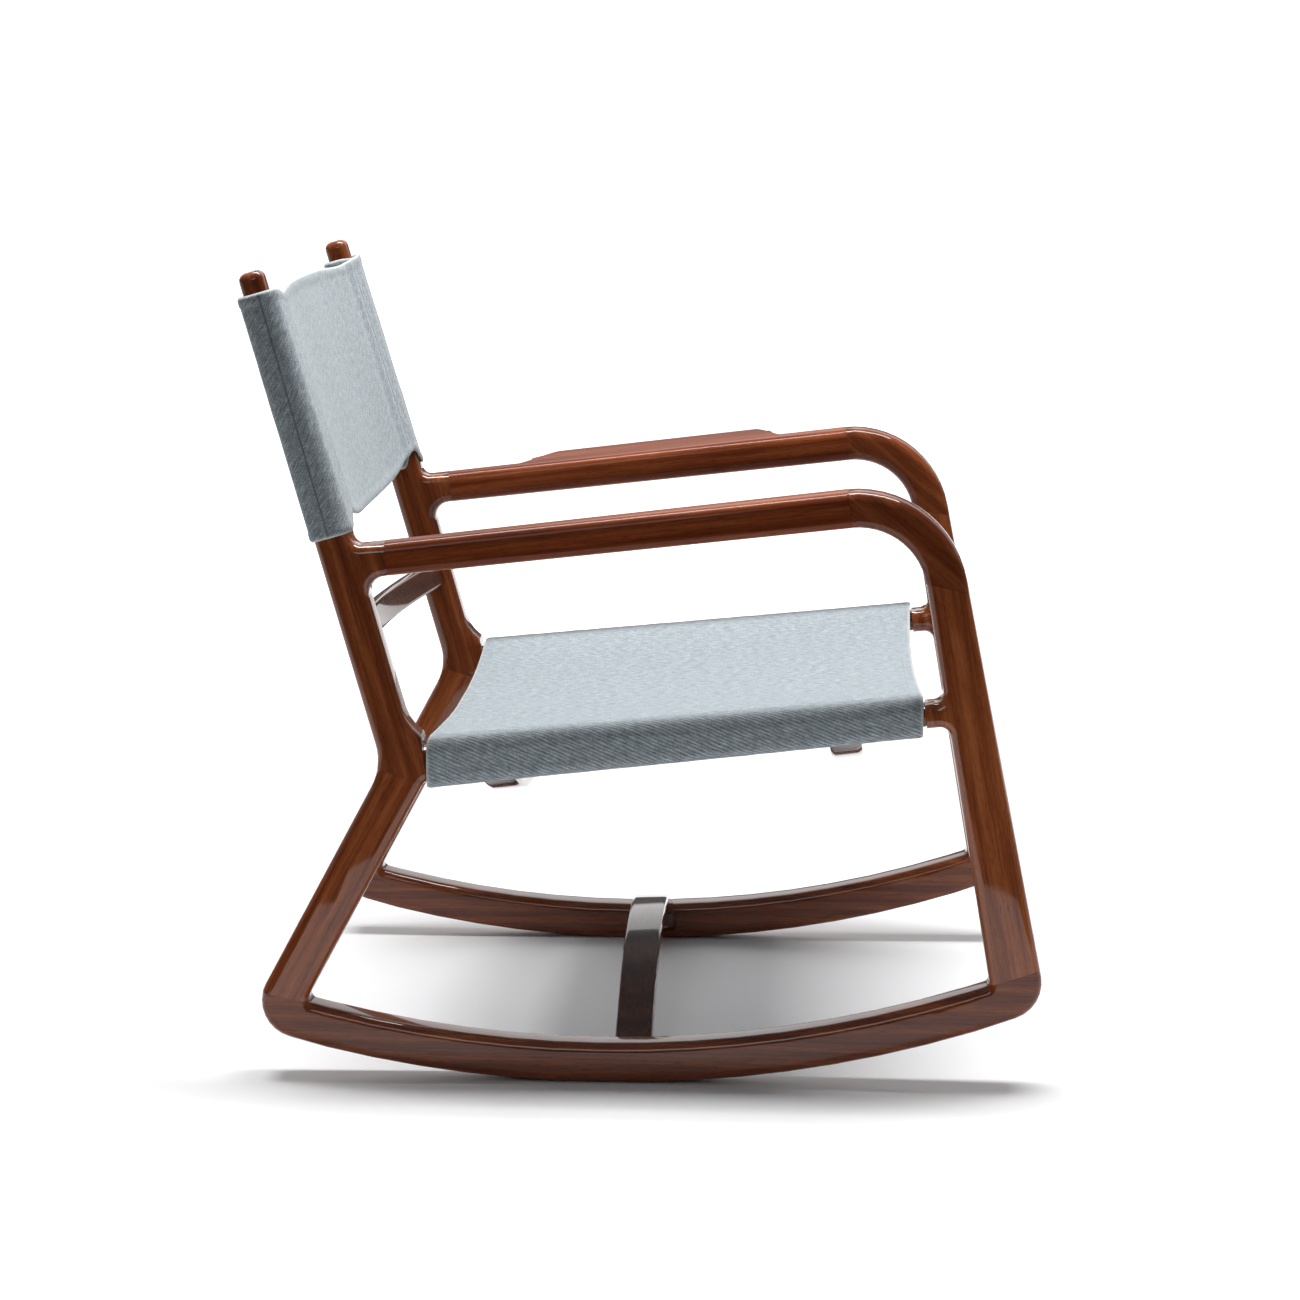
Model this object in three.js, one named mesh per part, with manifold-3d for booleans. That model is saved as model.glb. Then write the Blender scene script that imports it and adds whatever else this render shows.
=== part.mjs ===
// Rocking lounge chair: two sculpted walnut side frames, four curved cross members, a fabric back
// sling and a fabric seat sling. Millimetres, +X to the front, +Y to the sitter's left, +Z up.
import * as THREE from "three";
import { mergeVertices } from "three/addons/utils/BufferGeometryUtils.js";
import Module from "manifold-3d";

// ---------- driving dimensions ----------
const FRAME_SPACING = 568; // centre to centre of the two side frames
const TIMBER = 38; // thickness of a side frame, measured across the chair
const EDGE = 9; // round-over along every long edge of a side frame
const JOINT_GAP = 0.3; // glue line left between two touching pieces
const CURVE_STEP = 14; // degrees turned by one facet of a rounded corner
const WIDE_CURVE = 50; // a corner of more than this radius is cut finer
const WIDE_CURVE_STEP = 7;

const ROCKER_RADIUS = 1200; // underside of the rockers
const ROCKER_DEPTH = 40; // height of a rocker
const ROCKER_MIDDLE = -40; // front-to-back place where the rockers touch the floor
const ROCKER_FACET = 46; // length of one facet of the underside; the middle one is twice as long
const ROCKER_CORNER = 38; // rounding at both ends of a rocker

const POST_FOOT = new THREE.Vector2(-265, 345); // back line of the post, at seat height
const POST_LEAN = 15.9; // degrees, backwards from upright
const POST_DEPTH = 36.5; // front to back, below the back sling
const POST_TOP_DEPTH = 32.5; // front to back, at the shoulder
const POST_LENGTH = 447; // from POST_FOOT to the shoulder
// The rounded peg on top of a post: `buried` is how far it runs down inside the post's outline.
const FINIAL = { depth: 25.5, width: 24, height: 23, round: 9, dome: 8, buried: 30, setForward: 1.6 };

const ARM_TOP = { x: -200, z: 546, slope: 0.118 };
const ARM_UNDER = { x: -197, z: 513, slope: 0.111 };
const ARM_BEND_OUT = 108;
const ARM_BEND_IN = 66;
const LEG_FRONT = { x: 317, z: 489, slope: -0.2 }; // x falls by 0.2 for each 1 the leg rises
const LEG_BACK = { x: 277, z: 484, slope: -0.1702 };
const REAR_LEG_BACK = { x: -286, z: 265, slope: 0.537 };
const REAR_LEG_FRONT = { x: -263, z: 215, slope: 0.537 };
const RAIL_TOP = { x: -212, z: 340, slope: 0.0948 };
const RAIL_UNDER = { x: -212, z: 305, slope: 0.1148 };
const RAIL_FROM = -214.5; // the seat rail runs between these two joints
const RAIL_TO = 275;
const RAIL_INSET = 1.5; // the rail is this much slimmer than its stubs, to let the sling lie flush
const RAIL_ROUND = 10.5; // the rail is nearly oval under its sling

const ARM_JOINT = -250; // post to arm
const BEND_JOINT = 200; // arm to its corner block
const LEG_JOINT = 500; // corner block to front leg, height

// The wide rest on the left arm: it widens from `from` to `rearFull` and narrows from `frontFull` to `to`.
const PADDLE = { from: -188, rearFull: -136, frontFull: 96, to: 134, reach: 85, thick: 20, edge: 6 };

const STRETCHER = { x: -12, width: 38, thick: 18, rise: 74, end: 21, edge: 4 };
const SEAT_BAR = { width: 35, thick: 16, sag: 77, edge: 6 };
const SEAT_BARS = { rear: -156, front: 194 };
const BACK_BAR = { width: 30, thick: 16, bow: 40, along: 78, edge: 4 };

const TENON = { thick: 10, reach: 22 };
const TENON_GAP = 0.6; // a mortise is this much wider and thicker than its tenon

const CLOTH = 2.4; // fabric with its turned hem
const CLOTH_CLEAR = 0.6; // between the fabric and the timber inside it
// Places are along the post from POST_FOOT. The panel stops short of its sleeves at both edges.
const BACK_SLING = { from: 203, to: 449, bow: 16, panelLow: 9, panelHigh: 8 };
const SEAT_SLING = { from: -213, to: 273, sag: 10, slack: 6 };

const MIRROR = { right: -1, left: 1 };
const CLEAR = 30; // a cutter or a trimmed end runs past its mark by this much
const WIDE_CUT = TIMBER * 4; // depth of a cutter that passes right through a side frame

// ---------- solids ----------
const wasm = await Module();
wasm.setup();

function solid(geometry) {
  const plain = geometry.clone();
  plain.deleteAttribute("normal");
  plain.deleteAttribute("uv");
  const merged = mergeVertices(plain, 1e-4);
  const mesh = new wasm.Mesh({
    numProp: 3,
    vertProperties: merged.attributes.position.array,
    triVerts: new Uint32Array(merged.index.array),
  });
  return new wasm.Manifold(mesh);
}

function meshGeometry(body) {
  const mesh = body.getMesh();
  const geometry = new THREE.BufferGeometry();
  geometry.setAttribute("position", new THREE.BufferAttribute(mesh.vertProperties, 3));
  geometry.setIndex(new THREE.BufferAttribute(mesh.triVerts, 1));
  const faceted = geometry.toNonIndexed();
  faceted.computeVertexNormals();
  return faceted;
}

// ---------- outlines in the side plane ----------
const radians = (degrees) => (degrees * Math.PI) / 180;
const point = (x, z) => new THREE.Vector2(x, z);
const corner = (x, z, radius = 0) => ({ at: point(x, z), radius });

const heightOn = (line, x) => line.z + line.slope * (x - line.x);
const placeOn = (line, z) => line.x + line.slope * (z - line.z);

// Where a near-level line (z from x) meets a near-upright line (x from z).
function meeting(level, upright) {
  const base = level.z + level.slope * (upright.x - level.x - upright.slope * upright.z);
  const z = base / (1 - level.slope * upright.slope);
  return point(placeOn(upright, z), z);
}

const at = (place, radius) => ({ at: place, radius });

// A closed run of points through the corners, with an arc in place of each rounded one.
function rounded(corners) {
  const points = [];
  corners.forEach(({ at: here, radius }, i) => {
    if (!radius) {
      points.push(here.clone());
      return;
    }
    const before = corners[(i + corners.length - 1) % corners.length].at;
    const after = corners[(i + 1) % corners.length].at;
    const back = before.clone().sub(here).normalize();
    const on = after.clone().sub(here).normalize();
    const half = Math.acos(THREE.MathUtils.clamp(back.dot(on), -1, 1)) / 2;
    const tangent = radius / Math.tan(half);
    const centre = back.clone().add(on).normalize().multiplyScalar(radius / Math.sin(half)).add(here);
    const first = here.clone().addScaledVector(back, tangent).sub(centre);
    const turn = Math.PI - 2 * half;
    const sense = Math.sign(back.cross(on)) * -1;
    const step = radius > WIDE_CURVE ? WIDE_CURVE_STEP : CURVE_STEP;
    const facets = Math.max(2, Math.ceil(THREE.MathUtils.radToDeg(turn) / step));
    for (let k = 0; k <= facets; k += 1) {
      const spoke = first.clone().rotateAround(point(0, 0), (sense * turn * k) / facets);
      points.push(spoke.add(centre));
    }
  });
  return points;
}

// Extrudes a side-plane outline across the chair, centred on the given side position.
function across(points, thick, edge, holes = [], segments = 3) {
  const shape = new THREE.Shape(points);
  holes.forEach((hole) => shape.holes.push(new THREE.Path(hole)));
  const geometry = new THREE.ExtrudeGeometry(shape, {
    depth: thick - 2 * edge,
    bevelEnabled: edge > 0,
    bevelThickness: edge,
    bevelSize: edge,
    bevelOffset: -edge,
    bevelSegments: segments,
  });
  geometry.translate(0, 0, edge - thick / 2);
  geometry.rotateX(Math.PI / 2);
  return solid(geometry);
}

const post = point(-Math.sin(radians(POST_LEAN)), Math.cos(radians(POST_LEAN)));
const postFront = point(post.y, -post.x);

// A place given by distance up the post and distance forward of its back line.
const onPost = (up, forward) =>
  POST_FOOT.clone().addScaledVector(post, up).addScaledVector(postFront, forward);

const postBackLine = { x: POST_FOOT.x, z: POST_FOOT.y, slope: post.x / post.y };
const postFrontLine = { ...postBackLine, x: POST_FOOT.x + POST_DEPTH / post.y };

function rockerHeight(x, radius, base) {
  const away = x - ROCKER_MIDDLE;
  return base + radius - Math.sqrt(radius * radius - away * away);
}
const ROCKER_RISE = rockerHeight(ROCKER_MIDDLE + ROCKER_FACET, ROCKER_RADIUS, 0);
const underside = (x) => rockerHeight(x, ROCKER_RADIUS, -ROCKER_RISE);
const topside = (x) => rockerHeight(x, ROCKER_RADIUS - ROCKER_DEPTH, ROCKER_DEPTH);

// Points of the underside from back to front; the middle facet lies flat on the floor.
function undersidePoints(from, to) {
  const points = [];
  const most = Math.ceil((to - from) / ROCKER_FACET);
  for (let k = -most; k <= most; k += 1) {
    const x = ROCKER_MIDDLE + ROCKER_FACET * k;
    if (k !== 0 && x > from && x < to) points.push(corner(x, underside(x)));
  }
  return points;
}

function topsidePoints(from, to, count) {
  const points = [];
  for (let k = 0; k <= count; k += 1) {
    const x = from + ((to - from) * k) / count;
    points.push(corner(x, topside(x)));
  }
  return points;
}

// Where a leg line meets the rocker, found by stepping down the line.
function meetRocker(line, height) {
  const steps = 30;
  let z = ROCKER_DEPTH;
  for (let k = 0; k < steps; k += 1) z = height(placeOn(line, z));
  return point(placeOn(line, z), z);
}

// Where two near-upright lines cross.
function crossing(one, two) {
  const z = (two.x - one.x + one.slope * one.z - two.slope * two.z) / (one.slope - two.slope);
  return point(placeOn(one, z), z);
}

// Fillets where the members of a side frame run into each other.
const FILLET = {
  kneeBack: 57,
  kneeFront: 14,
  armOverPost: 10,
  armUnderPost: 17,
  railOverPost: 45,
  railOverLeg: 10,
  railUnderLeg: 10,
  foot: 6,
};
const UNDERSIDE_CLEAR = { rear: 60, front: 55 }; // kept free of facets for the rounded ends
const TOPSIDE_CLEAR = 22;
const TOPSIDE_FACETS = 14;
const SHOULDER = POST_LENGTH + FINIAL.height;
const TAPER_FROM = 210; // the post tapers from here to its shoulder

function outerOutline() {
  const rearCorner = meetRocker(REAR_LEG_BACK, underside);
  const frontCorner = meetRocker(LEG_FRONT, underside);
  return rounded([
    at(onPost(SHOULDER, 0), 0),
    at(crossing(postBackLine, REAR_LEG_BACK), FILLET.kneeBack),
    at(rearCorner, ROCKER_CORNER),
    ...undersidePoints(rearCorner.x + UNDERSIDE_CLEAR.rear, frontCorner.x - UNDERSIDE_CLEAR.front),
    at(frontCorner, ROCKER_CORNER),
    at(meeting(ARM_TOP, LEG_FRONT), ARM_BEND_OUT),
    at(meeting(ARM_TOP, postFrontLine), FILLET.armOverPost),
    at(onPost(TAPER_FROM, POST_DEPTH), 0),
    at(onPost(SHOULDER, POST_TOP_DEPTH), 0),
  ]);
}

function upperOpening() {
  return rounded([
    at(meeting(ARM_UNDER, postFrontLine), FILLET.armUnderPost),
    at(meeting(RAIL_TOP, postFrontLine), FILLET.railOverPost),
    at(meeting(RAIL_TOP, LEG_BACK), FILLET.railOverLeg),
    at(meeting(ARM_UNDER, LEG_BACK), ARM_BEND_IN),
  ]);
}

function lowerOpening() {
  const rear = meetRocker(REAR_LEG_FRONT, topside);
  const front = meetRocker(LEG_BACK, topside);
  return rounded([
    at(meeting(RAIL_UNDER, REAR_LEG_FRONT), FILLET.kneeFront),
    at(rear, FILLET.foot),
    ...topsidePoints(rear.x + TOPSIDE_CLEAR, front.x - TOPSIDE_CLEAR, TOPSIDE_FACETS),
    at(front, FILLET.foot),
    at(meeting(RAIL_UNDER, LEG_BACK), FILLET.railUnderLeg),
  ]);
}

// ---------- cutting the frame loop into its timbers ----------
const LEAST_MITRE = 0.2; // keeps a very sharp corner of a region from running away

// A region of the side plane, as a solid as thick as needed, drawn back from each edge by half a glue line.
function region(points) {
  const gap = JOINT_GAP / 2;
  const middle = points.reduce((sum, p) => sum.add(p), point(0, 0)).divideScalar(points.length);
  const inset = points.map((p, i) => {
    const before = points[(i + points.length - 1) % points.length];
    const after = points[(i + 1) % points.length];
    const one = p.clone().sub(before).normalize();
    const two = after.clone().sub(p).normalize();
    const sense = Math.sign(one.cross(middle.clone().sub(p)));
    const normalOne = point(-one.y, one.x).multiplyScalar(sense);
    const normalTwo = point(-two.y, two.x).multiplyScalar(sense);
    const mitre = normalOne.clone().add(normalTwo).normalize();
    return p.clone().addScaledVector(mitre, gap / Math.max(LEAST_MITRE, mitre.dot(normalOne)));
  });
  return across(inset, WIDE_CUT, 0);
}

const armAxis = Math.atan(ARM_TOP.slope);
const railAxis = Math.atan((RAIL_TOP.slope + RAIL_UNDER.slope) / 2);
const legAxis = Math.atan(LEG_FRONT.slope);

// Both ends of a cut square to a member whose axis climbs by the given angle.
function squareCut(place, angle, half) {
  const normal = point(-Math.sin(angle), Math.cos(angle));
  return [
    place.clone().addScaledVector(normal, half),
    place.clone().addScaledVector(normal, -half),
  ];
}

const middleOf = (one, two, x) => point(x, (heightOn(one, x) + heightOn(two, x)) / 2);

const joints = {
  armPost: middleOf(ARM_TOP, ARM_UNDER, ARM_JOINT),
  armBend: middleOf(ARM_TOP, ARM_UNDER, BEND_JOINT),
  railPost: middleOf(RAIL_TOP, RAIL_UNDER, RAIL_FROM),
  railLeg: middleOf(RAIL_TOP, RAIL_UNDER, RAIL_TO),
  bendLeg: point((placeOn(LEG_FRONT, LEG_JOINT) + placeOn(LEG_BACK, LEG_JOINT)) / 2, LEG_JOINT),
  rearKnee: point(-243, 313),
  rearFoot: point(-353, 86),
  frontFoot: point(367, 114),
};

// Cuts that aren't square to a member, each from the back of the side plane to the front.
const KNEE_CUT = { back: point(-300, 330), front: point(-208, 299) };
const HEEL_CUT = { x: -323, backX: -430, rise: 24 };
const TOE_CUT = { x: 335, frontX: 430, rise: 32 };
const OVER_ROCKER = 0.5; // a foot is cut this much above the rocker's top line
const CUT_HALF = { armPost: 34, armBend: 40, railPost: 19, railLeg: 15, bendLeg: 40 };
const BEYOND = { top: 860, low: -40, side: 430, back: -480 }; // outside the whole side frame

// The part of the side plane that each timber is cut from.
function timberRegions() {
  const [armPostTop, armPostLow] = squareCut(joints.armPost, armAxis, CUT_HALF.armPost);
  const [bendTop, bendLow] = squareCut(joints.armBend, armAxis, CUT_HALF.armBend);
  const [railPostTop, railPostLow] = squareCut(joints.railPost, railAxis, CUT_HALF.railPost);
  const [railLegTop, railLegLow] = squareCut(joints.railLeg, railAxis, CUT_HALF.railLeg);
  const [legFront, legBack] = squareCut(joints.bendLeg, legAxis + Math.PI / 2, -CUT_HALF.bendLeg);
  const heelFront = point(HEEL_CUT.x, topside(HEEL_CUT.x) + OVER_ROCKER);
  const heelBack = point(HEEL_CUT.backX, heelFront.y + HEEL_CUT.rise);
  const toeBack = point(TOE_CUT.x, topside(TOE_CUT.x) + OVER_ROCKER);
  const toeFront = point(TOE_CUT.frontX, toeBack.y + TOE_CUT.rise);
  const overMiddle = point(-30, 60);
  const overPost = [point(-255, 600), point(-330, BEYOND.top)];
  const besideBend = point(360, 660);
  const postFoot = [KNEE_CUT.back, KNEE_CUT.front, railPostLow, railPostTop];
  const underRocker = [point(-BEYOND.side, BEYOND.low), point(BEYOND.side, BEYOND.low)];
  return {
    back_post: [point(BEYOND.back, BEYOND.top), ...postFoot, armPostLow, armPostTop, ...overPost],
    rear_leg: [KNEE_CUT.back, heelBack, heelFront, KNEE_CUT.front],
    rocker: [heelBack, ...underRocker, toeFront, toeBack, overMiddle, heelFront],
    front_leg: [legFront, toeFront, toeBack, railLegLow, railLegTop, legBack],
    arm_bend: [bendTop, besideBend, legFront, legBack, bendLow],
    arm: [armPostTop, armPostLow, bendLow, bendTop],
  };
}

// ---------- hidden joinery ----------
// A loose tenon: a flat slip with round edges, its length along the axis of the joint.
function tenonSolid(width, thick, length) {
  const flat = (width - thick) / 2;
  const shape = new THREE.Shape();
  const quarter = Math.PI / 2;
  shape.absarc(flat, 0, thick / 2, -quarter, quarter, false);
  shape.absarc(-flat, 0, thick / 2, quarter, 3 * quarter, false);
  const geometry = new THREE.ExtrudeGeometry(shape, {
    depth: length,
    bevelEnabled: false,
    curveSegments: 5,
  });
  geometry.translate(0, 0, -length / 2);
  return geometry;
}

// Places a tenon in a side frame: along `angle` in the side plane, its width in that plane too.
function frameTenon({ place, angle, width, reach = TENON.reach }, grow = 0) {
  const geometry = tenonSolid(width + grow, TENON.thick + grow, 2 * (reach + grow));
  const along = new THREE.Vector3(Math.cos(angle), 0, Math.sin(angle));
  const wide = new THREE.Vector3(-Math.sin(angle), 0, Math.cos(angle));
  const turn = new THREE.Matrix4().makeBasis(wide, wide.clone().cross(along).negate(), along);
  geometry.applyMatrix4(turn);
  geometry.translate(place.x, 0, place.y);
  return solid(geometry);
}

const FRAME_TENONS = {
  arm_post: { place: joints.armPost, angle: armAxis, width: 20 },
  arm_bend: { place: joints.armBend, angle: armAxis, width: 22 },
  bend_leg: { place: joints.bendLeg, angle: Math.PI / 2 - legAxis, width: 24 },
  rail_post: { place: joints.railPost, angle: railAxis, width: 18, reach: 14 },
  rail_leg: { place: joints.railLeg, angle: railAxis, width: 16 },
  knee: { place: joints.rearKnee, angle: radians(92), width: 14 },
  rear_foot: { place: joints.rearFoot, angle: radians(62), width: 22 },
  front_foot: { place: joints.frontFoot, angle: radians(100), width: 24 },
};

// A tenon across the chair, into the inner face of a side frame.
function crossTenon(bar, side, grow = 0) {
  const { width, thick, reach } = bar.tenon;
  const geometry = tenonSolid(width + grow, thick + grow, 2 * (reach + grow));
  const along = new THREE.Vector3(0, 1, 0);
  const wide = new THREE.Vector3(Math.cos(bar.tilt), 0, Math.sin(bar.tilt));
  geometry.applyMatrix4(new THREE.Matrix4().makeBasis(wide, along.clone().cross(wide), along));
  geometry.translate(bar.place.x, MIRROR[side] * bar.face, bar.place.y);
  return solid(geometry);
}

// ---------- cross members ----------
const BAND_FACETS = 22; // facets along a bent band

// A flat band bent to a circular arc between the inner faces of the side frames. The bow is drawn in
// its own plane (across the chair, and in the direction of the bow) and then turned to its place.
// `grow` thickens it all round and lets it run on by as much again past each end.
function bentBand(bar, grow = 0) {
  const half = bar.face - JOINT_GAP;
  const radius = (half * half + bar.bow * bar.bow) / (2 * bar.bow);
  const drop = radius - bar.bow;
  const thick = bar.thick + 2 * grow;
  const reach = Math.asin((half + thick) / radius);
  const facets = BAND_FACETS;
  const arc = (r, sense) => {
    const points = [];
    for (let k = 0; k <= facets; k += 1) {
      const angle = sense * reach * ((2 * k) / facets - 1);
      points.push(point(r * Math.sin(angle), r * Math.cos(angle) - drop));
    }
    return points;
  };
  const outline = [...arc(radius + thick / 2, 1), ...arc(radius - thick / 2, -1)];
  const edge = bar.edge;
  const width = bar.width + 2 * grow;
  const geometry = new THREE.ExtrudeGeometry(new THREE.Shape(outline), {
    depth: width - 2 * edge,
    bevelThickness: edge,
    bevelSize: edge,
    bevelOffset: -edge,
    bevelSegments: 2,
  });
  geometry.translate(0, 0, edge - width / 2);
  const away = new THREE.Vector3(-Math.sin(bar.tilt), 0, Math.cos(bar.tilt)).multiplyScalar(bar.sense);
  const side = new THREE.Vector3(0, 1, 0);
  geometry.applyMatrix4(new THREE.Matrix4().makeBasis(side, away, side.clone().cross(away)));
  geometry.translate(bar.place.x, 0, bar.place.y);
  const between = new THREE.BoxGeometry(2 * ROCKER_RADIUS, 2 * (half + grow), 2 * ROCKER_RADIUS);
  between.translate(bar.place.x, 0, bar.place.y);
  return solid(geometry).intersect(solid(between));
}

const FRAME_FACE = (FRAME_SPACING - TIMBER) / 2; // inner face of a side frame
const RAIL_FACE = FRAME_FACE + RAIL_INSET; // inner face of a seat rail
const railMiddle = (x) => middleOf(RAIL_TOP, RAIL_UNDER, x);
const backBarPlace = onPost(BACK_BAR.along, POST_DEPTH / 2);

// Each band: its end on the side plane, the inner face it reaches, its section, the height of its arc,
// the tilt of its width in the side plane, which way it bows, its tenons and the timber they enter.
const BARS = {
  rocker_stretcher: {
    ...STRETCHER,
    place: point(STRETCHER.x, STRETCHER.end),
    face: FRAME_FACE,
    bow: STRETCHER.rise,
    tilt: 0,
    sense: 1,
    tenon: { width: 22, thick: 8, reach: 16 },
    joins: "rocker",
  },
  seat_rear_crossbar: {
    ...SEAT_BAR,
    place: railMiddle(SEAT_BARS.rear),
    face: RAIL_FACE,
    bow: SEAT_BAR.sag,
    tilt: railAxis,
    sense: -1,
    tenon: { width: 20, thick: 8, reach: 14 },
    joins: "seat_rail",
  },
  seat_front_crossbar: {
    ...SEAT_BAR,
    place: railMiddle(SEAT_BARS.front),
    face: RAIL_FACE,
    bow: SEAT_BAR.sag,
    tilt: railAxis,
    sense: -1,
    tenon: { width: 20, thick: 8, reach: 14 },
    joins: "seat_rail",
  },
  back_crossbar: {
    ...BACK_BAR,
    place: backBarPlace,
    face: FRAME_FACE,
    tilt: radians(90 + POST_LEAN),
    sense: 1,
    tenon: { width: 18, thick: 7, reach: 15 },
    joins: "back_post",
  },
};

// ---------- timbers ----------
function finialSolid() {
  const { depth, width, height, round } = FINIAL;
  const half = point(depth / 2, width / 2);
  const outline = rounded([
    corner(-half.x, -half.y, round),
    corner(half.x, -half.y, round),
    corner(half.x, half.y, round),
    corner(-half.x, half.y, round),
  ]);
  const { dome, buried, setForward } = FINIAL;
  const geometry = new THREE.ExtrudeGeometry(new THREE.Shape(outline), {
    depth: height + buried - 2 * dome,
    bevelThickness: dome,
    bevelSize: dome,
    bevelOffset: -dome,
    bevelSegments: 4,
  });
  geometry.translate(depth / 2 + setForward, 0, dome - buried);
  const forward = new THREE.Vector3(postFront.x, 0, postFront.y);
  const up = new THREE.Vector3(post.x, 0, post.y);
  geometry.applyMatrix4(new THREE.Matrix4().makeBasis(forward, up.clone().cross(forward), up));
  const base = onPost(POST_LENGTH, 0);
  geometry.translate(base.x, 0, base.y);
  return solid(geometry);
}

// Four corners round the post between two places along it.
const postSlice = (from, to) => [
  onPost(from, -CLEAR),
  onPost(from, POST_DEPTH + CLEAR),
  onPost(to, POST_DEPTH + CLEAR),
  onPost(to, -CLEAR),
];

// Everything above the shoulder of the post, to be cleared for the finial.
function aboveShoulder() {
  return across(postSlice(POST_LENGTH, POST_LENGTH + 3 * CLEAR), WIDE_CUT, 0);
}

function railOutline(grow, extend, slack = 0) {
  const from = RAIL_FROM - extend;
  const to = RAIL_TO + extend;
  return [
    point(from, heightOn(RAIL_UNDER, from) - grow - slack),
    point(to, heightOn(RAIL_UNDER, to) - grow - slack),
    point(to, heightOn(RAIL_TOP, to) + grow),
    point(from, heightOn(RAIL_TOP, from) + grow),
  ];
}

// Squares off the ends of a rail-shaped solid at two places along the rail.
function betweenRailCuts(from, to) {
  const [backTop, backLow] = squareCut(railMiddle(from), railAxis, 2 * CLEAR);
  const [frontTop, frontLow] = squareCut(railMiddle(to), railAxis, 2 * CLEAR);
  return across([backLow, frontLow, frontTop, backTop], WIDE_CUT, 0);
}

const RAIL_SEGMENTS = 4; // facets in each rounded edge of a rail and its sleeve

function railSolid() {
  const outline = railOutline(-RAIL_INSET, CLEAR);
  const body = across(outline, TIMBER - 2 * RAIL_INSET, RAIL_ROUND, [], RAIL_SEGMENTS);
  return body.intersect(betweenRailCuts(RAIL_FROM + JOINT_GAP, RAIL_TO - JOINT_GAP));
}

// The widened rest on the outer side of the left arm: flush with the arm's top, thinner than the arm.
function paddleSolid() {
  const { from, rearFull, frontFull, to, reach, thick, edge } = PADDLE;
  const root = TIMBER / 2 - EDGE;
  const overlap = 5.5; // how far the rest runs on past the middle of the arm
  const outline = [];
  const steps = 12;
  const ease = (t) => t * t * (3 - 2 * t);
  const out = (t) => root + (reach + EDGE) * ease(t);
  for (let k = 0; k <= steps; k += 1) {
    const t = k / steps;
    outline.push(point(from + (rearFull - from) * t, out(t)));
  }
  for (let k = 0; k <= steps; k += 1) {
    const t = k / steps;
    outline.push(point(frontFull + (to - frontFull) * t, out(1 - t)));
  }
  outline.push(point(to, -overlap), point(from, -overlap));
  const geometry = new THREE.ExtrudeGeometry(new THREE.Shape(outline), {
    depth: thick - 2 * edge,
    bevelThickness: edge,
    bevelSize: edge,
    bevelOffset: -edge,
    bevelSegments: 3,
  });
  const belowTop = 0.2;
  geometry.translate(0, 0, edge - thick);
  geometry.rotateY(-armAxis);
  geometry.translate(0, 0, heightOn(ARM_TOP, 0) - belowTop);
  return solid(geometry);
}

function sideTimbers() {
  const loop = across(outerOutline(), TIMBER, EDGE, [upperOpening(), lowerOpening()]);
  const timbers = {};
  Object.entries(timberRegions()).forEach(([name, outline]) => {
    timbers[name] = loop.intersect(region(outline));
  });
  timbers.back_post = timbers.back_post.subtract(aboveShoulder()).add(finialSolid());
  timbers.seat_rail = railSolid();
  return timbers;
}

// ---------- slings ----------
// A rail-shaped solid whose faces stand `proud` of a full-size rail, with edges rounded about the same
// centres as the rail's own. It hangs below the rail by the sling's slack.
function sleeveBody(proud, extend) {
  const edge = RAIL_ROUND + RAIL_INSET + proud;
  const outline = railOutline(proud, extend, SEAT_SLING.slack);
  return across(outline, TIMBER + 2 * proud, edge, [], RAIL_SEGMENTS);
}

const SEAT_ROOM = CLOTH_CLEAR - RAIL_INSET; // inner face of the seat sleeve, from a full-size rail

// The sleeve over a seat rail: an outer wrap less the room for the rail, cut square at both ends.
function seatSleeve() {
  const outside = sleeveBody(SEAT_ROOM + CLOTH, CLEAR);
  const inside = sleeveBody(SEAT_ROOM, 2 * CLEAR);
  return outside.subtract(inside).intersect(betweenRailCuts(SEAT_SLING.from, SEAT_SLING.to));
}

const railRoom = (side) =>
  sleeveBody(SEAT_ROOM, 2 * CLEAR).translate([0, (side * FRAME_SPACING) / 2, 0]);

function postOutline(grow, from, to) {
  const share = (to - TAPER_FROM) / (SHOULDER - TAPER_FROM);
  const topDepth = POST_DEPTH + (POST_TOP_DEPTH - POST_DEPTH) * share;
  return [
    onPost(from, -grow),
    onPost(from, POST_DEPTH + grow),
    onPost(TAPER_FROM, POST_DEPTH + grow),
    onPost(to, topDepth + grow),
    onPost(to, -grow),
  ];
}

const ROOM_EDGE = 7; // rounding inside a back sleeve, and one more outside it

function backSleeve() {
  const { from, to } = BACK_SLING;
  const proud = CLOTH + CLOTH_CLEAR;
  const wrap = postOutline(proud, from - CLEAR, to + CLEAR);
  const room = postOutline(CLOTH_CLEAR, from - 2 * CLEAR, to + 2 * CLEAR);
  const outside = across(wrap, TIMBER + 2 * proud, ROOM_EDGE + 1);
  const inside = across(room, TIMBER + 2 * CLOTH_CLEAR, ROOM_EDGE);
  return outside.subtract(inside).intersect(across(postSlice(from, to), WIDE_CUT, 0));
}

function postRoom(side) {
  const room = postOutline(CLOTH_CLEAR, BACK_SLING.from - 3 * CLEAR, POST_LENGTH + 2 * CLEAR);
  return across(room, TIMBER + 2 * CLOTH_CLEAR, ROOM_EDGE).translate([0, (side * FRAME_SPACING) / 2, 0]);
}

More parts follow.
